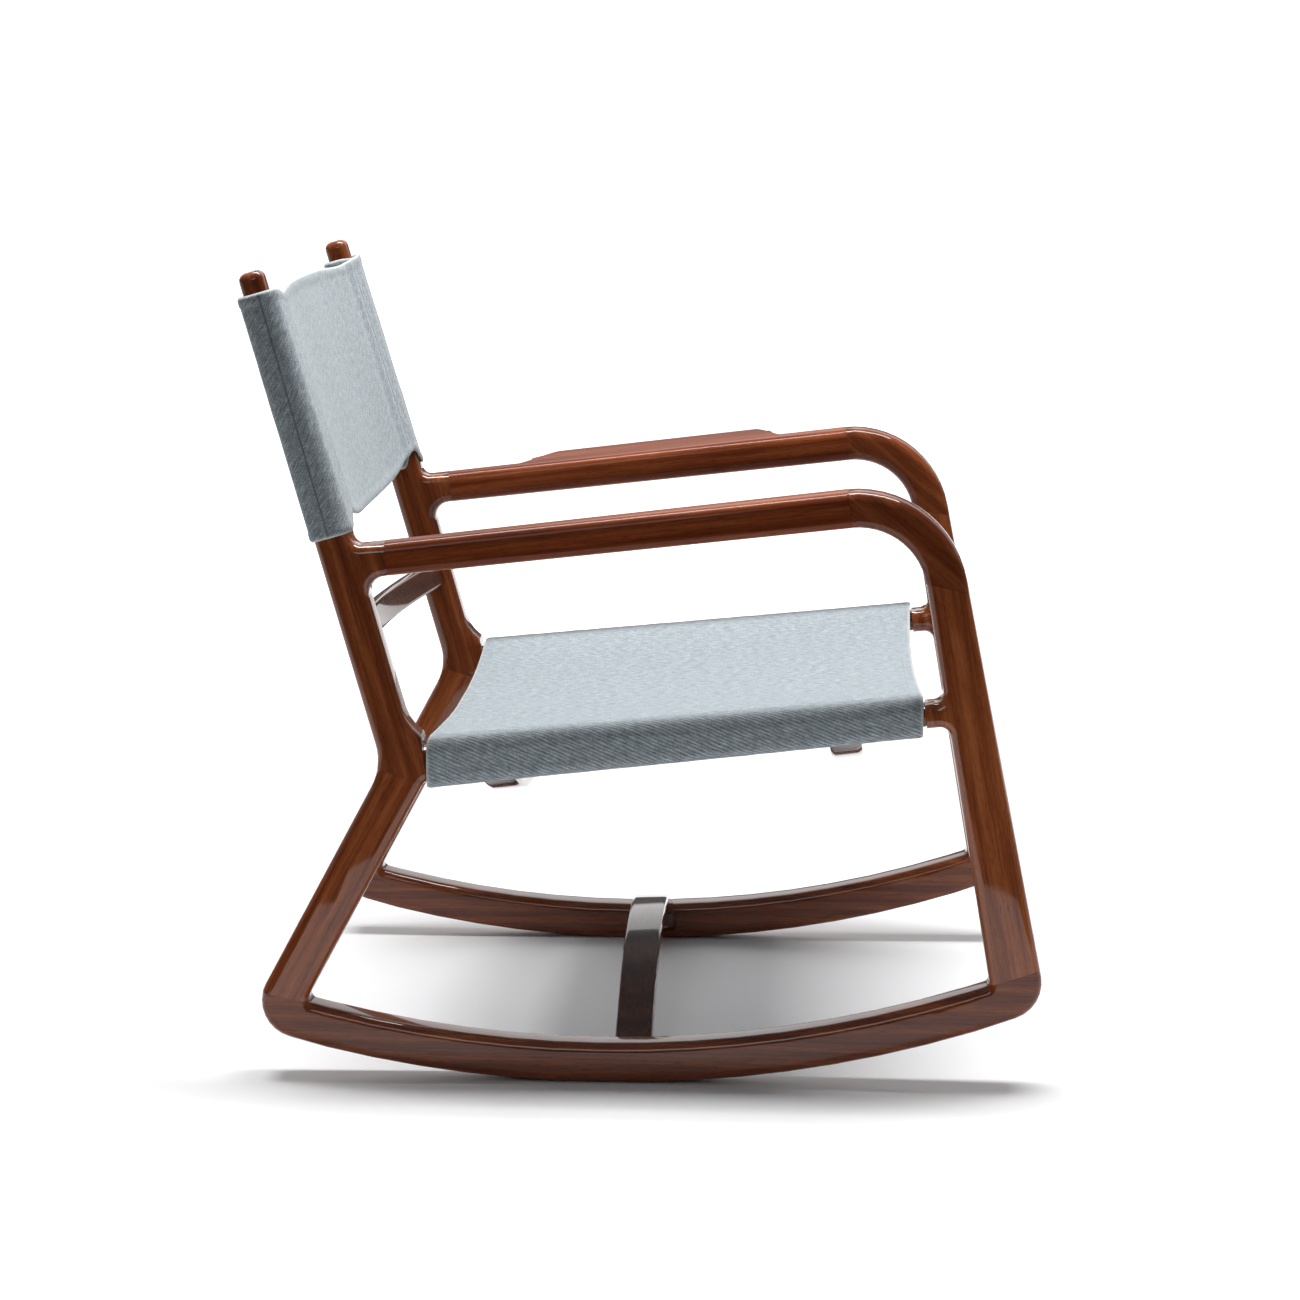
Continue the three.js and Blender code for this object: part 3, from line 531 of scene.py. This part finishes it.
class Sling:
    """A strip of fabric whose long ends wrap a timber on each side. It's made as a grid of
    places across the chair (columns) and along the timbers (rows), and every stitch is placed
    on that grid."""

    def __init__(self, name, rows, section, lift, opening, seam=0.0):
        self.name = name
        self.opening = opening  # (across, up, row share) -> whether the fabric is cut away there
        self.seam = seam  # distance of a sewn seam from each end of the cloth
        self.section = section  # row share -> (points across, distances along the cloth)
        self.lift = lift  # (across, up, row share) -> place in the chair's frame
        self.shares = np.linspace(0.0, 1.0, rows)

    def build(self, material, hem):
        lines = [self.section(share) for share in self.shares]
        count = len(lines[0][0])
        centre = np.array(
            [[self.lift(*p, share) for p in line] for (line, _), share in zip(lines, self.shares)]
        )
        self.across = lines[len(lines) // 2][1]
        row_step = np.linalg.norm(np.diff(centre, axis=0), axis=2).mean(axis=1)
        self.down = np.concatenate([[0.0], np.cumsum(row_step)])
        normal = np.cross(np.gradient(centre, axis=0), np.gradient(centre, axis=1))
        normal /= np.maximum(np.linalg.norm(normal, axis=2, keepdims=True), 1e-12)
        self.normal = normal
        edge_distance = np.minimum(self.down, self.down[-1] - self.down)
        fold = np.clip((hem - edge_distance) / HEM_FADE, 0.0, 1.0)
        fold = fold * fold * (3 - 2 * fold)
        rounded = 0.25 + 0.75 * np.sqrt(np.clip(edge_distance / EDGE_ROUND, 0.0, 1.0))
        in_groove = (edge_distance - hem + GROOVE_INSET) / GROOVE_WIDE
        groove = GROOVE_DEEP * np.exp(-(in_groove**2))
        outer = (CLOTH / 2 + 0.25 * HEM_THICK * fold - groove) * rounded
        inner = (CLOTH / 2 + 0.75 * HEM_THICK * fold) * rounded
        ridge = self.ridge_height()
        top = centre + normal * (outer[:, None] + ridge[None, :])[:, :, None]
        bottom = centre - normal * inner[:, None, None]
        self.top = top
        rows = len(self.shares)
        points = np.concatenate([top.reshape(-1, 3), bottom.reshape(-1, 3)])
        faces, uvs = [], []

        def index(layer, r, c):
            return layer * rows * count + r * count + c

        def place(r, c):
            return (self.across[c], self.down[r])

        section = np.array([line for line, _ in lines])
        kept = np.ones((rows - 1, count - 1), bool)
        for r in range(rows - 1):
            for c in range(count - 1):
                across, up = section[r : r + 2, c : c + 2].mean(axis=(0, 1))
                share = (self.shares[r] + self.shares[r + 1]) / 2
                kept[r, c] = not self.opening(across, up, share)

        def present(r, c):
            return 0 <= r < rows - 1 and 0 <= c < count - 1 and kept[r, c]

        for r in range(rows - 1):
            for c in range(count - 1):
                if not kept[r, c]:
                    continue
                ring = [(r, c), (r + 1, c), (r + 1, c + 1), (r, c + 1)]
                beyond = [(r, c - 1), (r + 1, c), (r, c + 1), (r - 1, c)]
                faces.append([index(0, *rc) for rc in ring])
                uvs += [place(*rc) for rc in ring]
                faces.append([index(1, *rc) for rc in ring[::-1]])
                uvs += [place(*rc) for rc in ring[::-1]]
                for one, two, cell in zip(ring, ring[1:] + ring[:1], beyond):
                    if not present(*cell):
                        rim = [(0, two), (0, one), (1, one), (1, two)]
                        faces.append([index(layer, *rc) for layer, rc in rim])
                        uvs += [place(*two), place(*one), place(*one), place(*two)]
        used = np.unique([i for face in faces for i in face])
        renumber = np.zeros(len(points), int)
        renumber[used] = np.arange(len(used))
        points = points[used]
        faces = [[int(renumber[i]) for i in face] for face in faces]
        made = mesh_object(self.name, points, faces, material)
        layer = made.data.uv_layers.new(name="cloth")
        layer.data.foreach_set("uv", np.array(uvs, np.float32).reshape(-1))
        near_edge = np.clip(1.0 - edge_distance / PALE_EDGE, 0.0, 1.0) * 0.8
        # the seam values are painted shade along the seam's groove
        shades = {"cut_edge": np.repeat(near_edge, count), "seam": np.tile(self.seam_groove_painted_shade(), rows)}
        for shade, values in shades.items():
            attribute = made.data.attributes.new(shade, "FLOAT", "POINT")
            attribute.data.foreach_set("value", np.tile(values, 2)[used].astype(np.float32))
        return made

    def seam_distance(self):
        """How far each column lies from the nearest sewn seam."""
        seams = [self.seam, self.across[-1] - self.seam] if self.seam else [-1.0]
        return np.min([np.abs(self.across - seam) for seam in seams], axis=0)

    def seam_groove_painted_shade(self):
        # painted shade: darkest along the middle of the seam, where its groove lies
        return 0.85 * np.exp(-((self.seam_distance() / SEAM_WIDE) ** 2))

    def ridge_height(self):
        """A seam stands up as a low welt with a groove along its middle."""
        away = self.seam_distance()
        welt = WELT_HIGH * np.exp(-((away / WELT_WIDE) ** 2))
        return welt - SEAM_DEEP * np.exp(-((away / SEAM_WIDE) ** 2))

    def on_surface(self, row, column):
        """The place and the outward direction at a fractional grid position."""
        r0 = int(min(row, len(self.shares) - 2))
        c0 = int(min(column, len(self.across) - 2))
        fr, fc = row - r0, column - c0
        blend = [
            ((1 - fr) * (1 - fc), 0, 0),
            ((1 - fr) * fc, 0, 1),
            (fr * (1 - fc), 1, 0),
            (fr * fc, 1, 1),
        ]
        place = sum(w * self.top[r0 + a, c0 + b] for w, a, b in blend)
        out = sum(w * self.normal[r0 + a, c0 + b] for w, a, b in blend)
        return place, out / np.linalg.norm(out)

    def row_at(self, distance):
        return np.interp(distance, self.down, np.arange(len(self.down)))

    def column_at(self, distance):
        return np.interp(distance, self.across, np.arange(len(self.across)))


STITCH_RADIUS, STITCH_LENGTH, STITCH_GAP = 0.00033, 0.0034, 0.0012
RUN_END = 0.002  # a run of stitches stops this far from the ends of its line


def stitch_mesh(runs):
    """Short thread capsules along the runs, each run a list of (place, outward) pairs."""
    points, faces = [], []
    rings, sides = 5, 6
    for run in runs:
        places = np.array([p for p, _ in run])
        outs = np.array([o for _, o in run])
        along = distances(places)
        start = RUN_END
        while start + STITCH_LENGTH < along[-1] - RUN_END:
            at = np.linspace(start, start + STITCH_LENGTH, rings)
            line = np.stack([np.interp(at, along, places[:, k]) for k in range(3)], axis=1)
            out = np.stack([np.interp(at, along, outs[:, k]) for k in range(3)], axis=1)
            arch = np.sin(np.linspace(0, math.pi, rings))
            line = line + out * (STITCH_RADIUS * (0.9 * arch - 0.35))[:, None]
            ahead = line[-1] - line[0]
            ahead /= np.linalg.norm(ahead)
            base = len(points)
            for k in range(rings):
                girth = STITCH_RADIUS * (0.45 + 0.55 * arch[k])
                side = np.cross(ahead, out[k])
                side /= np.linalg.norm(side)
                for s in range(sides):
                    turn = 2 * math.pi * s / sides
                    spoke = math.cos(turn) * side + math.sin(turn) * out[k]
                    points.append(line[k] + girth * spoke)
            for k in range(rings - 1):
                for s in range(sides):
                    a, b = base + k * sides + s, base + k * sides + (s + 1) % sides
                    faces.append([a, b, b + sides, a + sides])
            faces.append([base + s for s in range(sides)][::-1])
            last = base + (rings - 1) * sides
            faces.append([last + s for s in range(sides)])
            start += STITCH_LENGTH + STITCH_GAP
    return points, faces


def waves(seed, count, lowest, highest):
    """A smooth, repeatable undulation of two variables in metres, between about -1 and 1."""
    draw = np.random.default_rng(seed)
    full = 2 * math.pi
    terms = [
        (draw.uniform(lowest, highest), draw.uniform(0, full), draw.uniform(0, full))
        for _ in range(count)
    ]

    def value(a, b):
        total = 0.0
        for pitch, heading, phase in terms:
            way = a * math.cos(heading) + b * math.sin(heading)
            total += math.sin(way * 2 * math.pi * pitch + phase)
        return total / count

    return value


def smooth(value, low, high):
    t = min(1.0, max(0.0, (value - low) / (high - low)))
    return t * t * (3 - 2 * t)


# ---------- the seat sling ----------
SEAT_SAG = 0.012
SEAT_STAND = 0.0048  # how far the fabric stands above its rail
SEAT_HANG = 0.0075  # how far the fabric hangs below its rail
SEAT_HALF = TIMBER / 2 + 0.0004
SEAT_HEM = 0.014


def seat_section(share):
    x = SEAT_FROM + (SEAT_TO - SEAT_FROM) * share
    low = rail_under(x) - rail_top(x) - SEAT_HANG
    side = evenly(wrap_line(SEAT_HALF, low, SEAT_STAND, 0.022, 0.0105, 0.0150), 68)
    inner = SPACING / 2 - (SEAT_HALF - 0.004)
    across = np.linspace(-inner, inner, 110)[1:-1]
    hang = -SEAT_SAG * (1 - (across / inner) ** 2)
    return strip(side, np.stack([across, hang + SEAT_STAND], axis=1))


SEAT_BARS = (-0.156, 0.194)
SLOT_LONG, SLOT_HIGH = 0.0195, 0.0125  # half sizes of the opening for a crossbar


def seat_opening(across, up, share):
    """The inner wall of each sleeve is cut away where a crossbar passes through it."""
    x = SEAT_FROM + (SEAT_TO - SEAT_FROM) * share
    if min(abs(x - bar) for bar in SEAT_BARS) > SLOT_LONG:
        return False
    on_inner_wall = abs(abs(across) - (SPACING / 2 - SEAT_HALF)) < 0.003
    middle = (rail_under(x) - rail_top(x)) / 2 - 0.0005
    return on_inner_wall and abs(up - middle) < SLOT_HIGH


seat_ripple = waves(4, 7, 3.0, 11.0)
seat_fine = waves(9, 9, 14.0, 40.0)


def seat_lift(across, up, share):
    x = SEAT_FROM + (SEAT_TO - SEAT_FROM) * share
    reach = min(1.0, abs(across) / (SPACING / 2))
    draw_in = 0.0040 * (1 - reach * reach)  # the free edges are pulled in between the rails
    x += draw_in * (1 - 2 * share) * abs(1 - 2 * share) ** 3
    free = 1 - reach**6
    ripple = 0.0010 * free * seat_ripple(across, x) + 0.00035 * seat_fine(across, x)
    side = 0.0006 * (1 - free) * seat_ripple(up * 3, x)
    on_top = smooth(up, -0.012, 0.003)
    far = smooth(across, 0.150, SPACING / 2 - 0.012) * on_top
    near = smooth(-across, SPACING / 2 - 0.028, SPACING / 2 + 0.010) * on_top
    z = rail_top(x) + up + ripple + 0.0016 * far - 0.0012 * near
    y = across - math.copysign(side, across) * (1 if abs(across) > SPACING / 2 else 0)
    return (x + SHIFT_X, y + SHIFT_Y, z)


# ---------- the back sling ----------
BACK_BOW = 0.0165
SLEEVE_EASE = 0.0017  # between a post and the middle of the cloth round it
BACK_HALF = TIMBER / 2 + SLEEVE_EASE
BACK_HEM = 0.011
SEAM_PLACE = 0.1070  # from the cloth's hidden end to the middle of the sleeve's outer face
SEAM_STEPS = np.array([-3.6, -2.4, -1.6, -1.0, -0.5, 0.0, 0.5, 1.0, 1.6, 2.4, 3.6]) * 0.001


def post_depth(along):
    share = (along - BACK_FROM) / (POST_TOP - BACK_FROM)
    return POST_DEPTH + (POST_TOP_DEPTH - POST_DEPTH) * share


def back_section(share):
    along = BACK_FROM + (BACK_TO - BACK_FROM) * share
    high = post_depth(along) + SLEEVE_EASE
    wrap = wrap_line(BACK_HALF, -SLEEVE_EASE, high, 0.020, 0.0085, 0.0150)
    side = evenly(wrap, 68, SEAM_STEPS + SEAM_PLACE)
    inner = SPACING / 2 - (BACK_HALF - 0.006)
    across = np.linspace(-inner, inner, 120)[1:-1]
    hang = -BACK_BOW * (1 - np.abs(across / inner) ** 2.4)
    return strip(side, np.stack([across, hang + high], axis=1))


def back_opening(across, up, share):
    """The back sling isn't cut away anywhere."""
    return False


def eased(places, values):
    """A rounded curve through about the given values, as evenly spaced samples from 0 to 1."""
    width = 13
    pad = width // 2
    line = np.interp(np.linspace(0, 1, 101), places, values)
    window = np.hanning(width + 2)[1:-1]
    padded = np.concatenate([np.full(pad, line[0]), line, np.full(pad, line[-1])])
    return np.convolve(padded, window / window.sum(), "valid")


# How far the panel's free edges are drawn in from the ends of its sleeves, right post to left.
HEM_PLACES = np.linspace(0, 1, 101)
LOWER_RISE = eased(
    [0, 0.25, 0.5, 0.7, 0.85, 1.0],
    [0.0145, 0.005, 0.002, 0.005, 0.0125, 0.0180],
)
UPPER_DROP = eased(
    [0, 0.45, 0.62, 0.75, 0.93, 1.0],
    [0.0055, 0.0115, 0.0150, 0.0125, 0.0035, 0.0015],
)
CREASE_AT, CREASE_WIDE, CREASE_PITCH = 0.052, 0.022, 0.042  # inwards from the middle of a post
back_ripple = waves(21, 6, 2.0, 8.0)
back_fine = waves(33, 9, 14.0, 40.0)


def back_lift(across, up, share):
    along = BACK_FROM + (BACK_TO - BACK_FROM) * share
    reach = min(1.0, abs(across) / (SPACING / 2 - BACK_HALF))
    free = 1 - reach * reach
    inward = SPACING / 2 - abs(across)  # from the middle of the post
    depth = post_depth(along)
    on_panel = smooth(inward, -0.004, 0.024) * smooth(up, depth - 0.016, depth - 0.003)
    place = 0.5 + across / (SPACING - 2 * BACK_HALF)  # from the right post to the left
    lower = on_panel * float(np.interp(place, HEM_PLACES, LOWER_RISE))
    upper = -on_panel * float(np.interp(place, HEM_PLACES, UPPER_DROP))
    along += (1 - share) * lower + share * upper
    off = inward - CREASE_AT
    crease = math.exp(-((off / CREASE_WIDE) ** 2)) * math.cos(off * 2 * math.pi / CREASE_PITCH)
    forward = up + 0.0016 * crease + free * 0.0018 * back_ripple(across, along * 0.4)
    forward += 0.0003 * back_fine(across, along)
    lean_x, lean_z = -math.sin(POST_LEAN), math.cos(POST_LEAN)
    x = POST_FOOT[0] + lean_x * along + lean_z * forward
    z = POST_FOOT[1] + lean_z * along - lean_x * forward
    return (x + SHIFT_X, across + SHIFT_Y, z)


def along_rows(sling, distance):
    """A run across the cloth at a given distance from its first edge."""
    row = sling.row_at(distance)
    last = len(sling.across) - 1
    return [sling.on_surface(row, c) for c in np.linspace(0, last, 4 * last)]


def outer_face_distance(sling, depth):
    """Distance along the cloth to the outer face of its first sleeve, that deep from the back."""
    line, along = sling.section(0.5)
    on_face = np.abs(line[:, 0] + SPACING / 2 + BACK_HALF) < 0.0005
    return float(np.interp(depth, line[on_face, 1], along[on_face]))


def down_column(sling, distance):
    """A run down the cloth, along its timber, at a given distance from the cloth's end."""
    column = sling.column_at(distance)
    last = len(sling.shares) - 1
    return [sling.on_surface(r, column) for r in np.linspace(0, last, 3 * last)]


HEM_STITCH = 0.011  # from the free edge of the cloth to its row of stitches
SLEEVE_STITCHES = (0.0145, 0.0205)  # two rows beside the seam, this deep from the back


def add_slings():
    thread = thread_material()
    seat = Sling("seat_fabric", 150, seat_section, seat_lift, seat_opening)
    seat_piece = seat.build(twill("seat_twill", math.radians(62), 0.35, 0.13), SEAT_HEM)
    back = Sling("back_fabric", 90, back_section, back_lift, back_opening, SEAM_PLACE)
    back_piece = back.build(twill("back_twill", math.radians(-48), 0.46, 0.06), BACK_HEM)
    rows = (("seat", seat, seat_piece, "seat_rail"), ("back", back, back_piece, "back_post"))
    for label, sling, piece, timber in rows:
        runs = [along_rows(sling, HEM_STITCH), along_rows(sling, sling.down[-1] - HEM_STITCH)]
        if label == "back":
            for depth in SLEEVE_STITCHES:
                distance = outer_face_distance(sling, depth)
                runs.append(down_column(sling, distance))
                runs.append(down_column(sling, sling.across[-1] - distance))
        points, faces = stitch_mesh(runs)
        stitches = mesh_object(f"{label}_stitching", points, faces, thread)
        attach(piece, "root")
        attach(stitches, "root")
        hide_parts(f"{label}_sling")


# ---------- stage ----------
def add_stage():
    mesh = bpy.data.meshes.new("floor")
    wide, near, far = 14, -1.15, 22
    corners = [(-wide, near, 0), (wide, near, 0), (wide, far, 0), (-wide, far, 0)]
    mesh.from_pydata(corners, [], [(0, 1, 2, 3)])
    floor = bpy.data.objects.new("floor", mesh)
    bpy.context.scene.collection.objects.link(floor)
    material, tree, shader = blank_material("floor_white")
    shader.inputs["Base Color"].default_value = (0.86, 0.86, 0.87, 1)
    shader.inputs["Roughness"].default_value = 0.6
    shader.inputs["Specular IOR Level"].default_value = 0.2
    place = node(tree, "ShaderNodeTexCoord").outputs["Object"]
    away = node(tree, "ShaderNodeSeparateXYZ", {0: place}).outputs["Y"]
    glow = node(
        tree,
        "ShaderNodeMapRange",
        {"Value": away, "From Min": 0.7, "From Max": 3.0, "To Min": 0.0, "To Max": 0.9},
        interpolation_type="SMOOTHSTEP",
    ).outputs[0]
    shader.inputs["Emission Color"].default_value = WHITE
    tree.links.new(glow, shader.inputs["Emission Strength"])
    mesh.materials.append(material)


def area_light(name, place, aim, size, power):
    data = bpy.data.lights.new(name, "AREA")
    data.shape = "RECTANGLE"
    data.size, data.size_y = size
    data.energy = power
    lamp = bpy.data.objects.new(name, data)
    lamp.location = place
    lamp.rotation_euler = (Vector(aim) - Vector(place)).to_track_quat("-Z", "Y").to_euler()
    bpy.context.scene.collection.objects.link(lamp)


WHITE = (1, 1, 1, 1)


def add_light():
    """Two lamps, and surroundings that light the chair with a bright card and a dim sky."""
    area_light("overhead", (0.05, 0.05, 3.0), (0.05, 0.0, 0.0), (2.6, 0.6), 134.0)
    area_light("side_fill", (-0.6, -3.4, 1.6), (0.0, 0.0, 0.4), (0.9, 0.9), 7.0)
    world = bpy.data.worlds.new("studio")
    bpy.context.scene.world = world
    world.use_nodes = True
    tree = world.node_tree
    tree.nodes.clear()
    around = node(tree, "ShaderNodeTexCoord").outputs["Generated"]
    way = node(tree, "ShaderNodeSeparateXYZ", {0: around})

    def rise(axis, low, high, start, end):
        """Goes from start to end as the direction goes from low to high on that axis."""
        links = {
            "Value": way.outputs[axis],
            "From Min": low,
            "From Max": high,
            "To Min": start,
            "To Max": end,
        }
        return node(tree, "ShaderNodeMapRange", links, interpolation_type="SMOOTHSTEP").outputs[0]

    card_foot = rise("Z", 0.145, 0.20, 0.0, 1.30)
    card_head = rise("Z", 0.70, 0.80, 1.0, 0.0)
    card_side = rise("Y", 0.20, 0.50, 0.0, 1.0)
    card = math_node(tree, "MULTIPLY", card_foot, card_head)
    card = math_node(tree, "MULTIPLY", card, card_side)
    sky_height = rise("Z", -0.05, 0.75, 0.05, 0.22)
    sky_side = rise("Y", -0.9, 0.5, 0.6, 1.0)
    sky = math_node(tree, "MULTIPLY", sky_height, sky_side)
    glow = math_node(tree, "ADD", card, sky)
    lighting = node(tree, "ShaderNodeBackground", {"Strength": glow, "Color": WHITE})
    seen = node(tree, "ShaderNodeBackground", {"Strength": 1.05, "Color": WHITE})
    camera_ray = node(tree, "ShaderNodeLightPath").outputs["Is Camera Ray"]
    links = {0: camera_ray, 1: lighting.outputs[0], 2: seen.outputs[0]}
    mix = node(tree, "ShaderNodeMixShader", links)
    out = tree.nodes.new("ShaderNodeOutputWorld")
    tree.links.new(mix.outputs[0], out.inputs["Surface"])
    bpy.context.scene.view_settings.view_transform = "Standard"


add_camera()
add_stage()
add_light()
finish_timber()
add_glue_lines()
add_slings()
